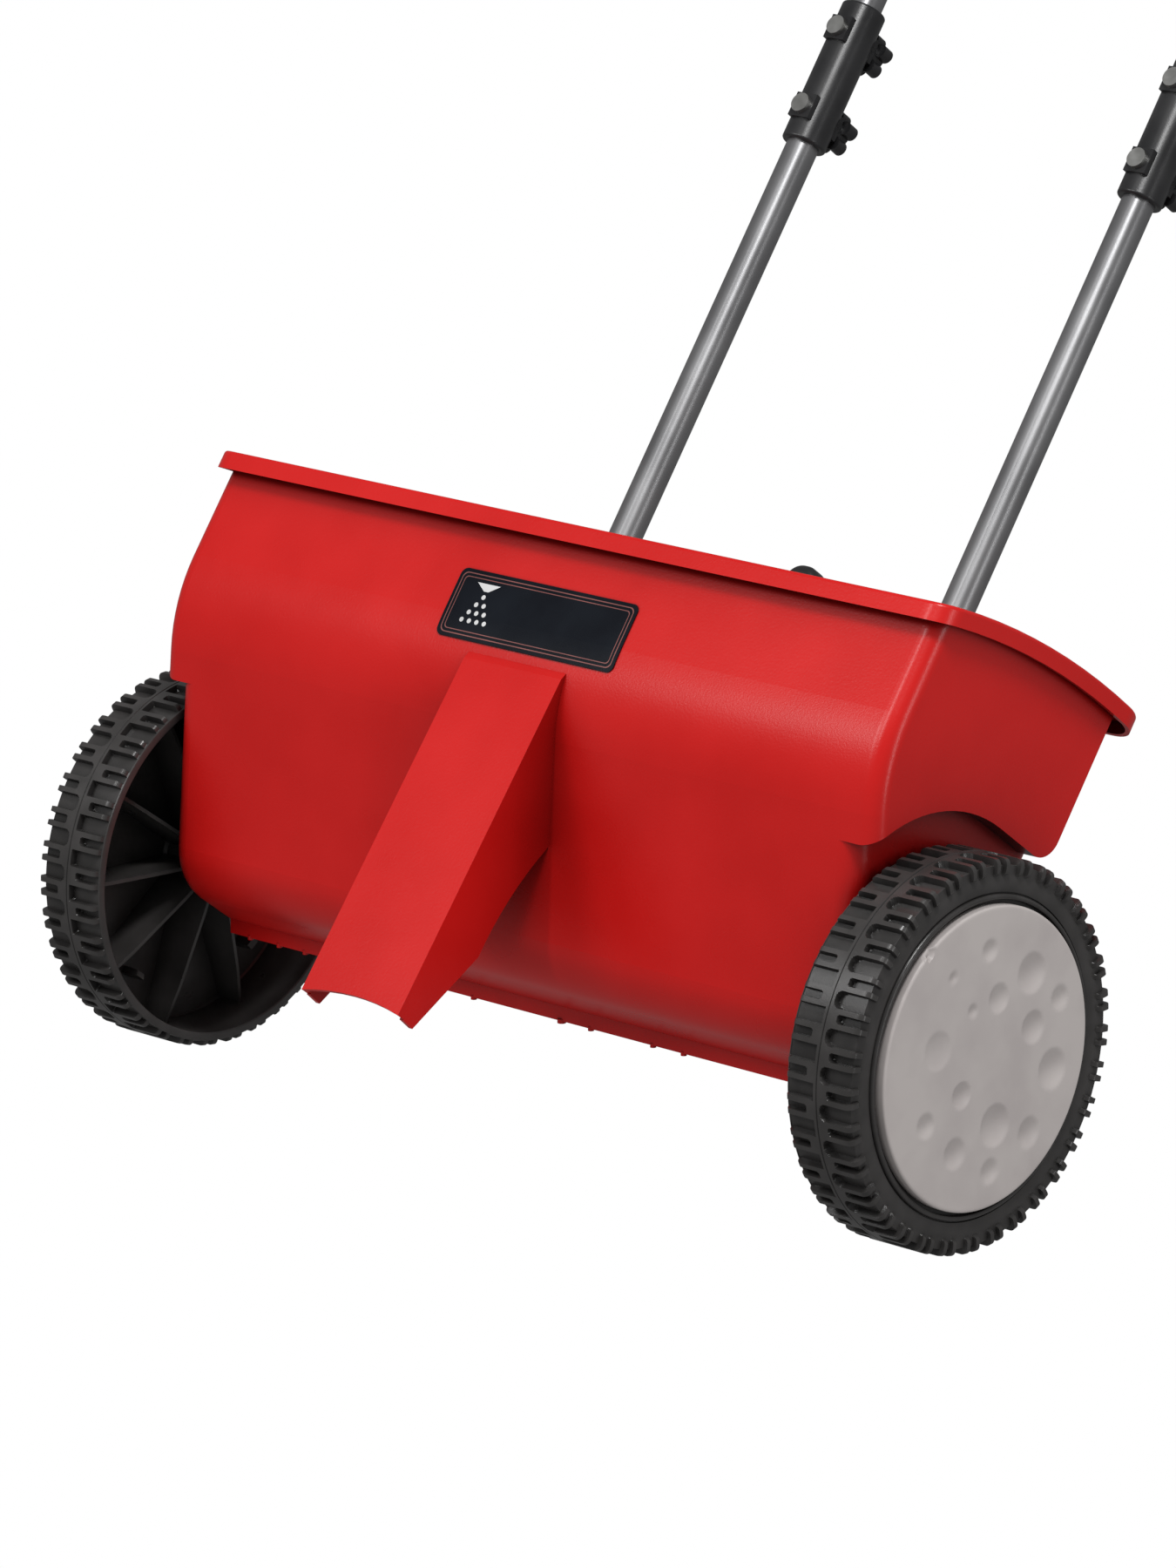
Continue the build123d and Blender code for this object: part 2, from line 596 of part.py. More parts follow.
def tube_connector():
    """Right sleeve that joins a lower tube to a leg of the upper handle."""
    start = TUBE_JOIN - SOCKET_HALF
    length = 2 * SOCKET_HALF
    sleeve = rod(SOCKET_R, (TUBE_X, TUBE_Y, start), (0, 0, 1), length)
    sleeve = fillet(sleeve.edges(), 1.5)
    for z in connector_heights():
        flat = block((TUBE_X - 7, TUBE_Y - 14, z - 7), (TUBE_X + 7, TUBE_Y + 14, z + 7))
        sleeve += flat
    sleeve -= rod(TUBE_R, (TUBE_X, TUBE_Y, start - 1), (0, 0, 1), length + 2)
    return sleeve - [bolt_hole(TUBE_X, z) for z in connector_heights()]


def connector_heights():
    return (TUBE_JOIN - SOCKET_BOLT_Z, TUBE_JOIN + SOCKET_BOLT_Z)


def connector_places():
    return [(side * TUBE_X, z) for side in (-1, 1) for z in connector_heights()]


def connector_bolts():
    bolts = []
    for x, z in connector_places():
        shank = rod(BOLT_R, (x, TUBE_Y - 14, z), (0, 1, 0), 34)
        bolts.append(shank + rod(5.5, (x, TUBE_Y - 17, z), (0, 1, 0), 3))
    return bolts


def star_knob(x, z):
    """Hand knob with five lobes on the rear end of a connector bolt."""
    y = TUBE_Y + 14
    core = rod(7.5, (x, y, z), (0, 1, 0), 9)
    for lobe in range(5):
        angle = math.radians(72 * lobe + 18)
        place = (x + 8.5 * math.cos(angle), y + 1.5, z + 8.5 * math.sin(angle))
        core += rod(4.0, place, (0, 1, 0), 7.5)
    return core - rod(BOLT_R, (x, y - 1, z), (0, 1, 0), 7)


def star_knobs():
    return [star_knob(x, z) for x, z in connector_places()]


def upper_handle():
    """One bent tube: two legs and a crossbar."""
    low = TUBE_JOIN + 1
    path = FilletPolyline(
        (-TUBE_X, TUBE_Y, low), (-TUBE_X, TUBE_Y, HANDLE_TOP),
        (TUBE_X, TUBE_Y, HANDLE_TOP), (TUBE_X, TUBE_Y, low), radius=HANDLE_BEND_R,
    )
    start = Plane(origin=(-TUBE_X, TUBE_Y, low), z_dir=(0, 0, 1))
    tube = sweep(start * Circle(TUBE_R), path=path)
    tube -= sweep(start * Circle(TUBE_R - TUBE_SHEET), path=path)
    holes = [bolt_hole(side * TUBE_X, TUBE_JOIN + SOCKET_BOLT_Z) for side in (-1, 1)]
    return tube - holes


def handle_grip():
    """Foam sleeve on the crossbar."""
    start = (-GRIP_HALF, TUBE_Y, HANDLE_TOP)
    sleeve = rod(GRIP_R, start, (1, 0, 0), 2 * GRIP_HALF)
    sleeve = fillet(sleeve.edges(), 4)
    return sleeve - rod(TUBE_R, (-FAR, TUBE_Y, HANDLE_TOP), (1, 0, 0), 2 * FAR)


# ---------------------------------------------------------------- dosing lever
def bracket_screw_places():
    return [(side * 15.0, z) for side in (-1, 1) for z in (BRACKET_LOW + 8, BRACKET_HIGH - 8)]


def lever_bracket():
    """Plate on the rear wall with a boss that carries the lever's pivot."""
    low = (-BRACKET_HALF_X, REAR_Y, BRACKET_LOW)
    high = (BRACKET_HALF_X, REAR_Y + BRACKET_SHEET, BRACKET_HIGH)
    plate = block(low, high)
    plate = fillet(plate.edges().filter_by(Axis.Y), 6)
    boss_length = LEVER_Y - END_GAP - REAR_Y - BRACKET_SHEET
    plate += rod(BOSS_R, (0, REAR_Y + BRACKET_SHEET, PIVOT_Z), (0, 1, 0), boss_length)
    web = block((-1.5, REAR_Y + 1, PIVOT_Z), (1.5, REAR_Y + 18, BRACKET_HIGH - 4))
    plate += web
    holes = [rod(PIVOT_R, (0, REAR_Y + BRACKET_SHEET, PIVOT_Z), (0, 1, 0), 40)]
    for x, z in bracket_screw_places():
        holes.append(rod(BRACKET_SCREW_R + BOLT_GAP / 2, (x, REAR_Y - 1, z), (0, 1, 0), 10))
    return plate - holes


def bracket_screws():
    screws = []
    for x, z in bracket_screw_places():
        outer = REAR_Y + BRACKET_SHEET
        shank = rod(BRACKET_SCREW_R, (x, outer - 6.3, z), (0, 1, 0), 6.3)
        screws.append(shank + rod(3.8, (x, outer, z), (0, 1, 0), 2.2))
    return screws


def pivot_bolt():
    """Shoulder bolt that the lever turns on."""
    start = REAR_Y + BRACKET_SHEET
    head_y = LEVER_Y + LEVER_SHEET + END_GAP
    shank = rod(PIVOT_R, (0, start, PIVOT_Z), (0, 1, 0), head_y - start)
    return shank + rod(7.0, (0, head_y, PIVOT_Z), (0, 1, 0), 4)


def scale_plate():
    """Thin plate on the rim's rear skirt, beside the lever, for the dosing scale."""
    return block((-20.0, RIM_REAR_Y, 195.8), (75.0, RIM_REAR_Y + SCALE_SHEET, 203.0))


def lever_arm():
    """Flat bar from the drive pin, past the pivot, to the knob."""
    length = LEVER_TOP - LEVER_PIN_Z + 2 * LEVER_HALF
    middle = (LEVER_TOP + LEVER_PIN_Z) / 2
    face = Pos(0, middle) * SlotOverall(length, 2 * LEVER_HALF, rotation=90)
    bar = Pos(0, LEVER_Y + LEVER_SHEET, 0) * extrude(Plane.XZ * face, amount=LEVER_SHEET)
    eye = rod(BOSS_R, (0, LEVER_Y, PIVOT_Z), (0, 1, 0), LEVER_SHEET)
    bore = rod(PIVOT_R + RUNNING_GAP, (0, LEVER_Y - 1, PIVOT_Z), (0, 1, 0), 10)
    return bar + eye - bore - rod(DRIVE_PIN_R, (0, LEVER_Y - 1, LEVER_PIN_Z), (0, 1, 0), 10)


def lever_drive_pin():
    start = TAB_Y - 3
    end = LEVER_Y + LEVER_SHEET
    return rod(DRIVE_PIN_R, (0, start, LEVER_PIN_Z), (0, 1, 0), end - start)


def lever_knob():
    """Rounded push-on knob, wider than the arm, with a domed top."""
    low = (-KNOB_HALF_X, KNOB_FRONT, KNOB_LOW)
    knob = block(low, (KNOB_HALF_X, KNOB_BACK, KNOB_TOP))
    top = knob.faces().sort_by(Axis.Z)[-1]
    knob = fillet(top.edges().filter_by(Axis.Y), 9.5)
    knob = fillet(knob.edges().filter_by(Axis.Z), 5)
    pocket = block(
        (-LEVER_HALF, LEVER_Y, KNOB_LOW - 1), (LEVER_HALF, LEVER_Y + LEVER_SHEET, LEVER_TOP + LEVER_HALF)
    )
    return knob - pocket


# ---------------------------------------------------------------- all nodes
def sub_parts():
    """Every node's name and its shape in the design frame. Left pieces mirror the right ones."""
    nodes = {
        "hopper": hopper(),
        "label_plate": label_plate(),
        "shutter_rail": shutter_rail(),
        "rail_screws": rail_screws(),
        "shutter_plate": shutter_plate(),
        "axle_shaft": axle_shaft(),
        "agitator": agitator(),
        "agitator_pins": agitator_pins(),
        "drive_pin": drive_pin(),
        "tube_saddles": tube_saddles(),
        "tube_bolts": tube_bolts(),
        "tube_nuts": tube_nuts(),
        "connector_bolts": connector_bolts(),
        "star_knobs": star_knobs(),
        "upper_handle": upper_handle(),
        "handle_grip": handle_grip(),
        "lever_bracket": lever_bracket(),
        "bracket_screws": bracket_screws(),
        "pivot_bolt": pivot_bolt(),
        "scale_plate": scale_plate(),
        "lever_arm": lever_arm(),
        "lever_drive_pin": lever_drive_pin(),
        "lever_knob": lever_knob(),
    }
    pairs = {
        "axle_bush": axle_bush(),
        "axle_spacer": axle_spacer(),
        "retaining_clip": retaining_clip(),
        "wheel": wheel(),
        "hub_cap": hub_cap(),
        "lower_tube": lower_tube(),
        "tube_plug": tube_plug(),
        "tube_connector": tube_connector(),
    }
    for name, right in pairs.items():
        nodes[name + "_right"] = right
        nodes[name + "_left"] = mirrored(right)
    return nodes


def as_one(shape):
    """A single solid as it is, and several as one compound."""
    if isinstance(shape, (list, tuple)):
        return Compound(children=[s.solid() for s in shape])
    return shape


os.makedirs("parts", exist_ok=True)
for name, shape in sub_parts().items():
    export_step(park(as_one(shape)), f"parts/{name}.step")
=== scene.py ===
import json
import math

import bpy
from mathutils import Matrix, Vector, noise


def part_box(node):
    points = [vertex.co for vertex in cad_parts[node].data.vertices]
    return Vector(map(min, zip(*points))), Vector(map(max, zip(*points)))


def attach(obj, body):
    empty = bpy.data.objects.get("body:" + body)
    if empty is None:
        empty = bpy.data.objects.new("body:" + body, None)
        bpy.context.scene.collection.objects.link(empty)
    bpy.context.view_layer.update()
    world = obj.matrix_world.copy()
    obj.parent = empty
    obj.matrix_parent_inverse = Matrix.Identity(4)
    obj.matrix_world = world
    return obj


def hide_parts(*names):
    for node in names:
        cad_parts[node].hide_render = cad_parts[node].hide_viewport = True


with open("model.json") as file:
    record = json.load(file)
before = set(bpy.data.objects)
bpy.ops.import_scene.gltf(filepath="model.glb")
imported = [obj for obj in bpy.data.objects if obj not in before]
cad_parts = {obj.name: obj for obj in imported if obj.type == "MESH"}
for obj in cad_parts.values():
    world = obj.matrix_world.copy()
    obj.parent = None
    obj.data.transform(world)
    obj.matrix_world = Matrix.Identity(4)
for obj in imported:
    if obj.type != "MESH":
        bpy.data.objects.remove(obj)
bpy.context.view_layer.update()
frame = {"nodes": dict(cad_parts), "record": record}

# ------------------------------------------------------------ places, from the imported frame
MM = 0.001
PARK_TILT = math.radians(5.67)      # how far the handle leans forward in the row frame
LEAN = math.radians(36.5)           # how far it leans back in use, the attitude of the main view
wheel_low, wheel_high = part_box("wheel_right")
AXLE = Vector((0, (wheel_low.y + wheel_high.y) / 2, (wheel_low.z + wheel_high.z) / 2))

# Design frame: origin on the axle, X right, Y back, Z along the handle tubes.
TO_ROW = Matrix.Translation(AXLE) @ Matrix.Rotation(PARK_TILT, 4, "X")
USE_TO_ROW = TO_ROW @ Matrix.Rotation(LEAN, 4, "X")


# ------------------------------------------------------------ camera and light
def turned_back(back):
    """A turn whose Z points along back, with its X level."""
    right = Vector((-back.y, back.x, 0)).normalized()
    up = back.cross(right)
    return Matrix((right, up, back)).transposed().to_4x4()


def make_camera():
    """Looks at the spreader as it is seen in use, leaned back, from its front right."""
    azimuth, elevation, distance = math.radians(42.63), math.radians(15.2), 4.2
    target = Vector((19.37, 0, 91.34)) * MM
    back = Vector((
        math.sin(azimuth) * math.cos(elevation),
        -math.cos(azimuth) * math.cos(elevation),
        math.sin(elevation),
    ))
    data = bpy.data.cameras.new("camera")
    data.sensor_width = 36
    data.lens = 189.3
    data.clip_end = 100
    camera = bpy.data.objects.new("camera", data)
    bpy.context.scene.collection.objects.link(camera)
    camera.matrix_world = USE_TO_ROW @ Matrix.Translation(target + back * distance) @ turned_back(back)
    bpy.context.scene.camera = camera


def make_light(name, towards, distance, size, power):
    """A soft box in a direction of the level frame, turned to the spreader."""
    data = bpy.data.lights.new(name, "AREA")
    data.shape = "RECTANGLE"
    data.size, data.size_y = size
    data.energy = power
    light = bpy.data.objects.new(name, data)
    bpy.context.scene.collection.objects.link(light)
    back = Vector(towards).normalized()
    light.matrix_world = USE_TO_ROW @ Matrix.Translation(back * distance) @ turned_back(back)
    light.visible_camera = False


def make_lights():
    make_light("front_strip", (-0.03, -0.66, 0.75), 2.2, (0.08, 0.9), 9)
    make_light("side_strip", (0.976, 0.10, 0.19), 2.2, (0.07, 1.2), 6)
    make_light("key", (-0.45, -0.75, 0.65), 2.6, (0.7, 0.7), 12)
    make_light("top", (0.40, -0.25, 1.0), 2.4, (0.6, 0.5), 30)


def make_world():
    """White to the camera, dimmer as light on the surfaces, and dimmer still where they mirror it."""
    world = bpy.data.worlds.new("world")
    world.use_nodes = True
    nodes, links = world.node_tree.nodes, world.node_tree.links
    path = nodes.new("ShaderNodeLightPath")
    ray = nodes.new("ShaderNodeMath")
    ray.operation = "MULTIPLY_ADD"
    links.new(path.outputs["Is Glossy Ray"], ray.inputs[0])
    ray.inputs[1].default_value = -0.32
    ray.inputs[2].default_value = 0.50
    clear = nodes.new("ShaderNodeMath")
    clear.operation = "MAXIMUM"
    links.new(path.outputs["Is Camera Ray"], clear.inputs[0])
    links.new(ray.outputs[0], clear.inputs[1])
    links.new(clear.outputs[0], nodes["Background"].inputs[1])
    nodes["Background"].inputs[0].default_value = (1, 1, 1, 1)
    bpy.context.scene.world = world
    bpy.context.scene.view_settings.view_transform = "Standard"


def make_floor():
    """A pale floor under the standing spreader, seen only from above."""
    material, nodes, links = new_material("floor")
    shader = nodes["Principled BSDF"]
    shader.inputs["Base Color"].default_value = (0.86, 0.86, 0.86, 1)
    shader.inputs["Roughness"].default_value = 0.9
    clear = nodes.new("ShaderNodeBsdfTransparent")
    mix = nodes.new("ShaderNodeMixShader")
    side = nodes.new("ShaderNodeNewGeometry")
    links.new(side.outputs["Backfacing"], mix.inputs[0])
    links.new(shader.outputs[0], mix.inputs[1])
    links.new(clear.outputs[0], mix.inputs[2])
    links.new(mix.outputs[0], nodes["Material Output"].inputs[0])
    bpy.ops.mesh.primitive_plane_add(size=60)
    floor = bpy.context.object
    floor.name = "floor"
    floor.data.materials.append(material)
    floor.visible_shadow = False
    floor.visible_diffuse = False
    floor.visible_glossy = False


# ------------------------------------------------------------ materials
def new_material(name):
    material = bpy.data.materials.new(name)
    material.use_nodes = True
    return material, material.node_tree.nodes, material.node_tree.links


def noise_node(nodes, links, scale, detail):
    place = nodes.new("ShaderNodeTexCoord")
    texture = nodes.new("ShaderNodeTexNoise")
    texture.inputs["Scale"].default_value = scale
    texture.inputs["Detail"].default_value = detail
    links.new(place.outputs["Object"], texture.inputs["Vector"])
    return texture


def surface(name, low, high, patch, rough, grain=None, metallic=0.0, painted_shade=None, gloss=0.5):
    """Plastic, metal or foam whose colour and gloss drift between two values over its surface.

    patch is the drift's scale, rough its two roughnesses, grain a bump's scale and height,
    and the painted-shade argument the reach and depth of shade painted into the colour in corners."""
    material, nodes, links = new_material(name)
    shader = nodes["Principled BSDF"]
    drift = noise_node(nodes, links, patch, 3)
    ramp = nodes.new("ShaderNodeValToRGB")
    ramp.color_ramp.elements[0].position = 0.35
    ramp.color_ramp.elements[1].position = 0.65
    ramp.color_ramp.elements[0].color = (*low, 1)
    ramp.color_ramp.elements[1].color = (*high, 1)
    links.new(drift.outputs[0], ramp.inputs[0])
    colour = ramp.outputs[0]
    if painted_shade:
        reach, depth = painted_shade
        # Painted shade: ambient occlusion darkens the base colour in corners and hollows, where shade
        # falls.
        corner = nodes.new("ShaderNodeAmbientOcclusion")
        corner.samples = 8
        corner.inputs["Distance"].default_value = reach
        keep = nodes.new("ShaderNodeMapRange")
        keep.inputs["To Min"].default_value = 1 - depth
        links.new(corner.outputs["AO"], keep.inputs["Value"])
        mix = nodes.new("ShaderNodeVectorMath")
        mix.operation = "SCALE"
        links.new(colour, mix.inputs[0])
        links.new(keep.outputs[0], mix.inputs["Scale"])
        colour = mix.outputs[0]
    links.new(colour, shader.inputs["Base Color"])
    spread = nodes.new("ShaderNodeMapRange")
    spread.inputs["To Min"].default_value, spread.inputs["To Max"].default_value = rough
    links.new(drift.outputs[0], spread.inputs["Value"])
    links.new(spread.outputs[0], shader.inputs["Roughness"])
    if grain:
        fine = noise_node(nodes, links, grain[0], 2)
        bump = nodes.new("ShaderNodeBump")
        bump.inputs["Strength"].default_value = 1
        bump.inputs["Distance"].default_value = grain[1]
        links.new(fine.outputs[0], bump.inputs["Height"])
        links.new(bump.outputs[0], shader.inputs["Normal"])
    shader.inputs["Metallic"].default_value = metallic
    shader.inputs["Specular IOR Level"].default_value = gloss
    return material


SLOTS = {
    "red_plastic": surface(
        "red_plastic", (0.50, 0.006, 0.005), (0.55, 0.008, 0.007), 14, (0.24, 0.32),
        (900, 0.00006), painted_shade=(0.07, 1.0), gloss=0.35,
    ),
    "black_plastic": surface(
        "black_plastic", (0.012, 0.012, 0.013), (0.02, 0.02, 0.021), 40, (0.25, 0.38),
        (1200, 0.00003),
    ),
    "wheel_black": surface(
        "wheel_black", (0.034, 0.032, 0.031), (0.046, 0.043, 0.042), 60, (0.24, 0.36),
        (1500, 0.00005), painted_shade=(0.012, 0.9),
    ),
    "cap_grey": surface(
        "cap_grey", (0.44, 0.40, 0.39), (0.49, 0.45, 0.435), 30, (0.4, 0.55),
        (2200, 0.00005), painted_shade=(0.008, 0.5),
    ),
    "tube_grey": surface(
        "tube_grey", (0.20, 0.20, 0.205), (0.25, 0.25, 0.255), 25, (0.28, 0.4),
        metallic=0.7,
    ),
    "steel": surface("steel", (0.5, 0.5, 0.48), (0.62, 0.62, 0.6), 120, (0.25, 0.4), metallic=1.0),
    "foam": surface(
        "foam", (0.018, 0.018, 0.019), (0.035, 0.035, 0.036), 500, (0.8, 0.95), (1400, 0.0004),
    ),
    "label": surface("label", (0.003, 0.004, 0.007), (0.005, 0.007, 0.011), 30, (0.22, 0.32), gloss=0.15),
    "scale": surface("scale", (0.68, 0.68, 0.66), (0.76, 0.76, 0.74), 60, (0.4, 0.5)),
}
PRINT_RED = surface("print_red", (0.16, 0.045, 0.04), (0.24, 0.07, 0.06), 30, (0.35, 0.45))
PRINT_PALE = surface("print_pale", (0.48, 0.48, 0.48), (0.60, 0.60, 0.60), 40, (0.35, 0.45))


def finish_piece(obj, material, sharp=35):
    obj.data.materials.clear()
    obj.data.materials.append(material)
    obj.data.shade_smooth()
    obj.data.set_sharp_from_angle(angle=math.radians(sharp))


def dress_cad():
    for part in frame["record"]["subparts"]:
        finish_piece(frame["nodes"][part["node"]], SLOTS[part["material_slot"]])


# ------------------------------------------------------------ meshes, in design frame millimetres
def new_piece(name, points, faces, body, slot_name, hides=(), sharp=35, material=None):
    """A piece that rides on a body. Its material is its slot's, unless another is given."""
    mesh = bpy.data.meshes.new(name)
    mesh.from_pydata([TO_ROW @ (Vector(p) * MM) for p in points], [], faces)
    mesh.update()
    piece = bpy.data.objects.new(name, mesh)
    bpy.context.scene.collection.objects.link(piece)
    finish_piece(piece, material or SLOTS[slot_name], sharp)
    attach(piece, body)
    if hides:
        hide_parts(*hides)
    return piece


class Shape:
    """Points and faces gathered for one piece."""

    def __init__(self):
        self.points = []
        self.faces = []

    def grid(self, rows, closed):
        """Quads between successive rows of points. closed joins each row's end to its start."""
        start = len(self.points)
        width = len(rows[0])
        for row in rows:
            self.points.extend(row)
        for i in range(len(rows) - 1):
            for j in range(width if closed else width - 1):
                k = (j + 1) % width
                a, b = start + i * width, start + (i + 1) * width
                self.faces.append((a + j, b + j, b + k, a + k))

    def lathe(self, section, count, centre=(0, 0)):
        """A section of (X, radius) turned about an axis along X."""
        rows = []
        for x, r in section:
            turns = [2 * math.pi * k / count for k in range(count)]
            rows.append([
                (x, centre[0] + r * math.cos(t), centre[1] + r * math.sin(t)) for t in turns
            ])
        self.grid(rows, True)

    def slab(self, outline, half, angle):
        """A plate drawn in X and radius, half thick each side, turned about the axle."""
        def place(x, r, side):
            y, z = side * half, r
            return (x, y * math.cos(angle) - z * math.sin(angle),
                    y * math.sin(angle) + z * math.cos(angle))
        start, count = len(self.points), len(outline)
        for side in (-1, 1):
            self.points.extend(place(x, r, side) for x, r in outline)
        self.faces.append(tuple(start + k for k in range(count)))
        self.faces.append(tuple(start + count + k for k in reversed(range(count))))
        for k in range(count):
            m = (k + 1) % count
            self.faces.append((start + m, start + k, start + count + k, start + count + m))

    def mirrored(self):
        other = Shape()
        other.points = [(-x, y, z) for x, y, z in self.points]
        other.faces = [tuple(reversed(face)) for face in self.faces]
        return other


# ------------------------------------------------------------ wheels
PERIODS = 33
WHEEL_R, POCKET_R = 100.0, 96.5
PERIOD = 2 * math.pi * WHEEL_R / PERIODS
BAND_LOW, BAND_MIDDLE, BAND_HIGH = 259.3, 261.5, 263.7
LARGE, SMALL = (5.85, 4.25), (15.37, 2.07)      # middle and half width round the tread
SHORTER = 4.5               # how far the small pockets end short of the middle band
OUTER_CORNER, INNER_CORNER = 4.0, 0.7
POCKET_WALL = 0.5           # width over which a lug's side falls to the pocket's floor
PARTING_DEPTH = 0.45        # fine groove round the middle band
SKIN_BASE, SKIN_TOP = 280.8, 283.0
SHOULDER_X, SHOULDER_R = 279.5, 3.5


def pocket_distance(along, across, half, corner):
    """Distance outside a pocket whose rounded end is at along = 0 and that is open beyond it."""
    over = abs(across) - (half - corner)
    short = corner - along
    outside = math.hypot(max(over, 0), max(short, 0))
    return outside + min(max(over, short), 0) - corner


def lug(x, u):
    """1 on a lug or the middle band, 0 in a pocket. u runs round the tread."""
    if x > BAND_MIDDLE:
        start, shift, corner = x - BAND_HIGH, 0, OUTER_CORNER
    else:
        start, shift, corner = BAND_LOW - x, PERIOD / 2, INNER_CORNER
    u = (u + shift) % PERIOD
    large = pocket_distance(start, u - LARGE[0], LARGE[1], corner)
    small = pocket_distance(start - SHORTER, u - SMALL[0], SMALL[1], SMALL[1])
    t = min(max(0.5 + min(large, small) / POCKET_WALL, 0), 1)
    return t * t * (3 - 2 * t)


def spaced(stops, step):
    """The stops, with more values between them where they are further apart than step."""
    values = [stops[0]]
    for a, b in zip(stops, stops[1:]):
        count = max(1, math.ceil((b - a) / step))
        values.extend(a + (b - a) * (k + 1) / count for k in range(count))
    return values


def round_stops():
    """Places round one period of the tread, close together at the pockets' walls."""
    walls = [m + s * h for m, h in (LARGE, SMALL) for s in (-1, 1)]
    walls += [(w - PERIOD / 2) % PERIOD for w in walls]
    stops = sorted(w + d for w in walls for d in (-POCKET_WALL / 2, POCKET_WALL / 2))
    return spaced(stops + [stops[0] + PERIOD], 0.8)[:-1]


def tread_section():
    """From the dish's edge over the tread to the side wall: floor point, lug point, tread X."""
    edge = ((240, 92.9), (240, 96.0), (240.3, 96.6), (240.9, 96.8))
    rows = [((x, r), (x, r), x) for x, r in edge]
    rise = 3.0
    stops = [241.2, 241.5, 241.9, 242.4, 243.0, 243.6, 244.2, BAND_LOW - SHORTER - 2.5,
             BAND_LOW - SHORTER + 0.25, BAND_LOW - 0.25, BAND_LOW + 0.25, BAND_MIDDLE - 0.45,
             BAND_MIDDLE - 0.1, BAND_MIDDLE + 0.1, BAND_MIDDLE + 0.45, BAND_HIGH - 0.25,
             BAND_HIGH + 0.25, BAND_HIGH + SHORTER - 0.25, BAND_HIGH + SHORTER + 2.5, SHOULDER_X]
    for x in spaced(stops, 0.9):
        back = min(max((stops[6] - x) / rise, 0), 1)
        top = WHEEL_R - rise * (1 - math.sqrt(1 - back * back))
        if abs(x - BAND_MIDDLE) < 0.2:
            top -= PARTING_DEPTH
        rows.append(((x, POCKET_R), (x, top), x))
    steps = 7
    for k in range(1, steps + 1):
        t = k / steps
        bend = t * math.pi / 2
        tip = (SHOULDER_X + SHOULDER_R * math.sin(bend),
               WHEEL_R - SHOULDER_R + SHOULDER_R * math.cos(bend))
        floor_x = min(SHOULDER_X + 2.6 * t, SKIN_BASE)
        rows.append(((floor_x, POCKET_R - max(0, t - 0.5) * 2.4), tip, SHOULDER_X + 5))
    for r, out in ((94.8, 1), (93.6, 0.98), (92.8, 0.9), (92.1, 0.6), (91.5, 0.25), (91.0, 0.0)):
        tip = (SKIN_BASE + out * (SKIN_TOP - SKIN_BASE), r)
        rows.append(((SKIN_BASE, r), tip, SHOULDER_X + 5))
    rim = ((281.0, 90), (281.25, 88), (281.25, 86), (281.05, 84), (280.8, 83.05), (280.0, 82.8),
           (280.0, 82.45), (281.2, 82.2), (281.9, 81.8), (282.2, 81.2), (282.2, 80.2),
           (281.9, 79.7), (281.3, 79.5), (279.05, 79.4), (279.05, 76.0))
    rows += [(p, p, SHOULDER_X + 5) for p in rim]
    return rows


def wheel_shape():
    """The right wheel: tread and side walls, open dish, ribs and snap hooks."""
    wheel = Shape()
    turns = [period * PERIOD + u for period in range(PERIODS) for u in round_stops()]
    rows = []
    for low, high, x in tread_section():
        row = []
        for u in turns:
            t = lug(x, u)
            px = low[0] + t * (high[0] - low[0])
            r = low[1] + t * (high[1] - low[1])
            angle = u / WHEEL_R
            row.append((px, r * math.cos(angle), r * math.sin(angle)))
        rows.append(row)
    wheel.grid(rows, True)
    dish = ((240, 92.9), (240.5, 92.3), (243, 92.0), (260, 91.8), (275.5, 91.5), (276.5, 90.5),
            (276.5, 60), (276.5, 30), (276.5, 14), (275, 12.4), (244, 12.0), (243, 11.2), (243, 4.1),
            (279, 4.1), (279, 76))
    wheel.lathe(tuple(reversed(dish)), 120)
    for k in range(10):
        rib = ((277, 11), (248, 11), (250, 30), (256, 70), (261, 91.9), (277, 91.9))
        wheel.slab(rib, 1.0, math.radians(36 * k + 18))
    for k in range(5):
        hook = ((277, 70), (266, 70.5), (264.5, 73.5), (267, 74), (277, 74))
        wheel.slab(hook, 3.0, math.radians(72 * k + 36))
    return wheel


# ------------------------------------------------------------ hub caps
CAP_R, CAP_FACE, CAP_BACK = 77.3, 285.5, 279.2
DENTS = (       # backwards, upwards, radius, depth
    (-31.5, 45.7, 5.5, 1.8), (-48.9, 22.7, 3.3, 1.08), (-24.9, 15.4, 3.6, 1.08),
    (-10.3, 29.0, 7.5, 2.16), (5.6, 50.0, 10.5, 2.7), (33.7, 49.1, 6.5, 1.98),
    (23.4, 28.2, 8.5, 2.34), (-37.2, -11.9, 10.0, 1.44), (50.7, 17.2, 10.5, 2.7),
    (-6.5, -22.6, 7.0, 1.98), (-22.5, -46.2, 6.5, 1.98), (26.8, -24.4, 11.0, 2.7),
    (53.8, -16.6, 8.0, 2.16), (6.8, -48.7, 8.0, 2.16), (37.6, -45.0, 6.5, 1.98),
)
DENT_POWER = 0.9            # below 1 the dents have steep edges
CAP_SAG = 0.15              # how far the face falls off towards its edge
CAP_EDGE = 1.4
NOTCH, NOTCH_R, NOTCH_DEPTH, NOTCH_REACH = (-73.0, 25.1), 3.4, 2.6, 3.0


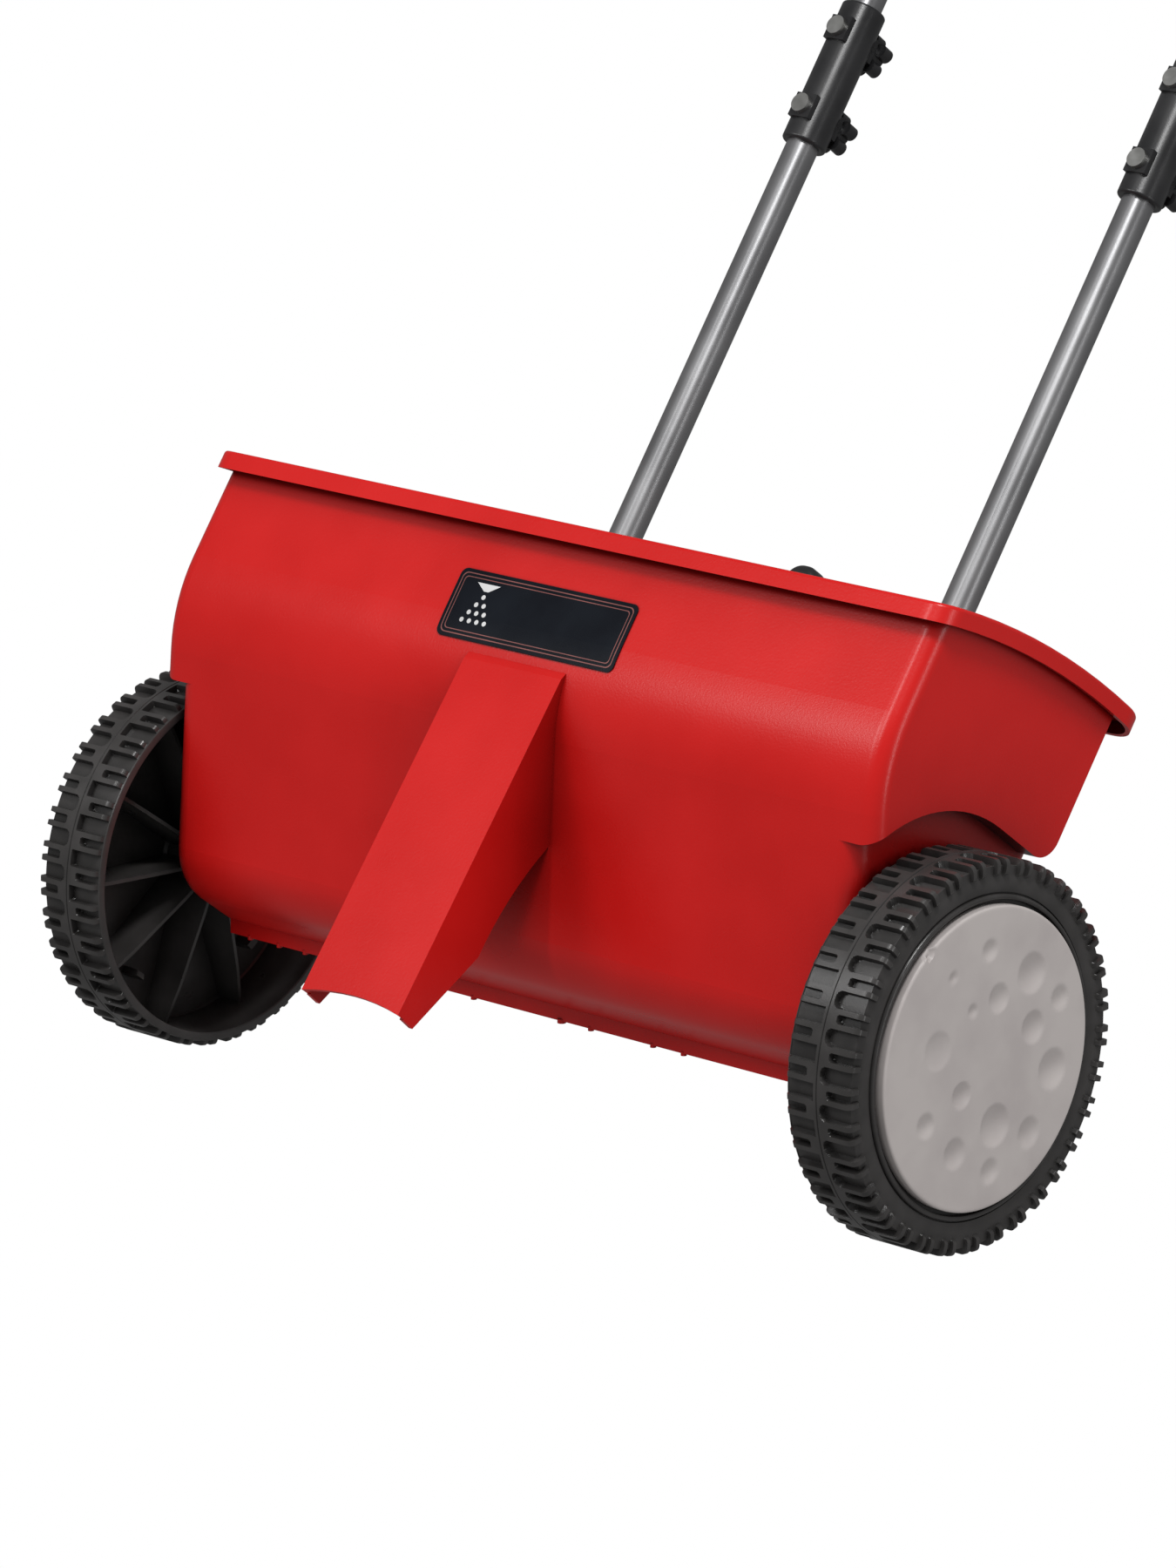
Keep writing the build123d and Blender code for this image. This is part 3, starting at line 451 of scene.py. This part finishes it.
def cap_face(y, z):
    x = CAP_FACE - CAP_SAG * math.hypot(y, z) / CAP_R
    for dent_y, dent_z, radius, depth in DENTS:
        q = math.hypot(y - dent_y, z - dent_z) / radius
        if q < 1:
            x -= depth * (1 - q * q) ** DENT_POWER
    at_edge = abs(math.hypot(y, z) - CAP_R) < NOTCH_REACH
    if at_edge and math.hypot(y - NOTCH[0], z - NOTCH[1]) < NOTCH_R:
        x -= NOTCH_DEPTH
    return x


def cap_shape():
    """The right hub cap: a dished disc with a rounded edge."""
    cap = Shape()
    count = 240
    rows = []
    for r in [0.01] + [1.1 * k for k in range(1, 69)] + [CAP_R - CAP_EDGE]:
        turns = [2 * math.pi * k / count for k in range(count)]
        places = [(r * math.cos(t), r * math.sin(t)) for t in turns]
        rows.append([(cap_face(y, z), y, z) for y, z in places])
    for back, r in ((0.1, 0.9), (0.4, 0.4), (0.9, 0.1), (1.5, 0), (CAP_FACE - CAP_BACK, 0)):
        ring = []
        for k in range(count):
            t = 2 * math.pi * k / count
            y, z = (CAP_R - r) * math.cos(t), (CAP_R - r) * math.sin(t)
            ring.append((min(cap_face(y, z), CAP_FACE) - back * 0.95, y, z))
        rows.append(ring)
    cap.grid(list(reversed(rows)), True)
    return cap


def make_wheels():
    wheel, cap = wheel_shape(), cap_shape()
    for side, body in (("right", "drive_axle"), ("left", "left_wheel")):
        a = wheel if side == "right" else wheel.mirrored()
        b = cap if side == "right" else cap.mirrored()
        new_piece("tread_wheel_" + side, a.points, a.faces, body, "wheel_black",
                  ("wheel_" + side,), 38)
        new_piece("dented_cap_" + side, b.points, b.faces, body, "cap_grey",
                  ("hub_cap_" + side,), 50)


# ------------------------------------------------------------ foam grip
def make_grip():
    """A foam sleeve on the crossbar, slightly uneven and soft at its ends."""
    half, radius, bore = 67.8, 14.6, 9.05
    tube_y, tube_z = 42.0, 960.0
    ends = ((0, bore), (0, 11.5), (0.4, 12.9), (1.4, 14.0), (3.0, radius))
    section = [(-half + x, r) for x, r in ends]
    section += [(-half + 3 + (2 * half - 6) * k / 60, radius) for k in range(1, 60)]
    section += [(half - x, r) for x, r in reversed(ends)]
    grip = Shape()
    grip.lathe(section, 56, (tube_y, tube_z))
    points = []
    for x, y, z in grip.points:
        out = Vector((0, y - tube_y, z - tube_z))
        if out.length > bore + 0.5:
            out *= 1 + 0.012 * noise.noise(Vector((x, y, z)) / 16)
        points.append((x, tube_y + out.y, tube_z + out.z))
    faces = [tuple(reversed(face)) for face in grip.faces]
    piece = new_piece("foam_grip", points, faces, "chassis", "foam", ("handle_grip",), 60)


# ------------------------------------------------------------ label print
BEND_Y, BEND_Z, PRINT_R = -26.0, 126.0, 95.66


def label_point(x, z):
    """A point on the label plate, which follows the front wall's curve below BEND_Z."""
    drop = max(0.0, BEND_Z - z)
    return (x, BEND_Y - math.sqrt(PRINT_R ** 2 - drop ** 2), z)


def rounded_outline(low, high, radius, steps=8):
    corners = (
        (high[0] - radius, high[1] - radius, 0), (low[0] + radius, high[1] - radius, 90),
        (low[0] + radius, low[1] + radius, 180), (high[0] - radius, low[1] + radius, 270),
    )
    points = []
    for x, z, start in corners:
        for k in range(steps + 1):
            t = math.radians(start + 90 * k / steps)
            points.append((x + radius * math.cos(t), z + radius * math.sin(t)))
    return points


def subdivided(points, step):
    """A closed outline with more points along its long sides."""
    out = []
    for (x, z), (u, v) in zip(points, points[1:] + points[:1]):
        count = max(1, math.ceil(math.hypot(u - x, v - z) / step))
        out.extend((x + (u - x) * k / count, z + (v - z) * k / count) for k in range(count))
    return out


def print_frames():
    """Two thin printed frames, one inside the other."""
    frames = Shape()
    for inset, width in ((2.0, 0.55), (4.1, 0.45)):
        low, high = (-59.5 + inset, 113 + inset), (62.5 - inset, 151 - inset)
        outer = subdivided(rounded_outline(low, high, 4.2 - inset / 2), 3)
        middle_x, middle_z = (low[0] + high[0]) / 2, (low[1] + high[1]) / 2
        shrink_x = 1 - 2 * width / (high[0] - low[0])
        shrink_z = 1 - 2 * width / (high[1] - low[1])
        inner = [(middle_x + (x - middle_x) * shrink_x, middle_z + (z - middle_z) * shrink_z)
                 for x, z in outer]
        frames.grid([[label_point(*p) for p in outer], [label_point(*p) for p in inner]], True)
    new_piece("label_frames", frames.points, frames.faces, "chassis", "label", material=PRINT_RED)


def print_pattern():
    """A plain pattern of granules that fall from a chute."""
    marks = Shape()
    granule_r, sides = 1.35, 16
    turns = [2 * math.pi * j / sides for j in range(sides)]
    for row in range(4):
        for k in range(row + 1):
            x = -38 + (k - row / 2) * 5.2
            z = 137 - row * 4.6
            ring = [(x + granule_r * math.cos(t), z + granule_r * math.sin(t)) for t in turns]
            core = [(x, z)] * sides
            marks.grid([[label_point(*p) for p in ring], [label_point(*p) for p in core]], True)
    chute = [(-46, 144.5), (-30, 144.5), (-36.5, 140.2), (-39.5, 140.2)]
    start = len(marks.points)
    marks.points.extend(label_point(*p) for p in chute)
    marks.faces.append(tuple(start + k for k in range(4)))
    new_piece("label_pattern", marks.points, marks.faces, "chassis", "label", material=PRINT_PALE)


make_camera()
make_world()
make_lights()
make_floor()
dress_cad()
make_wheels()
make_grip()
print_frames()
print_pattern()
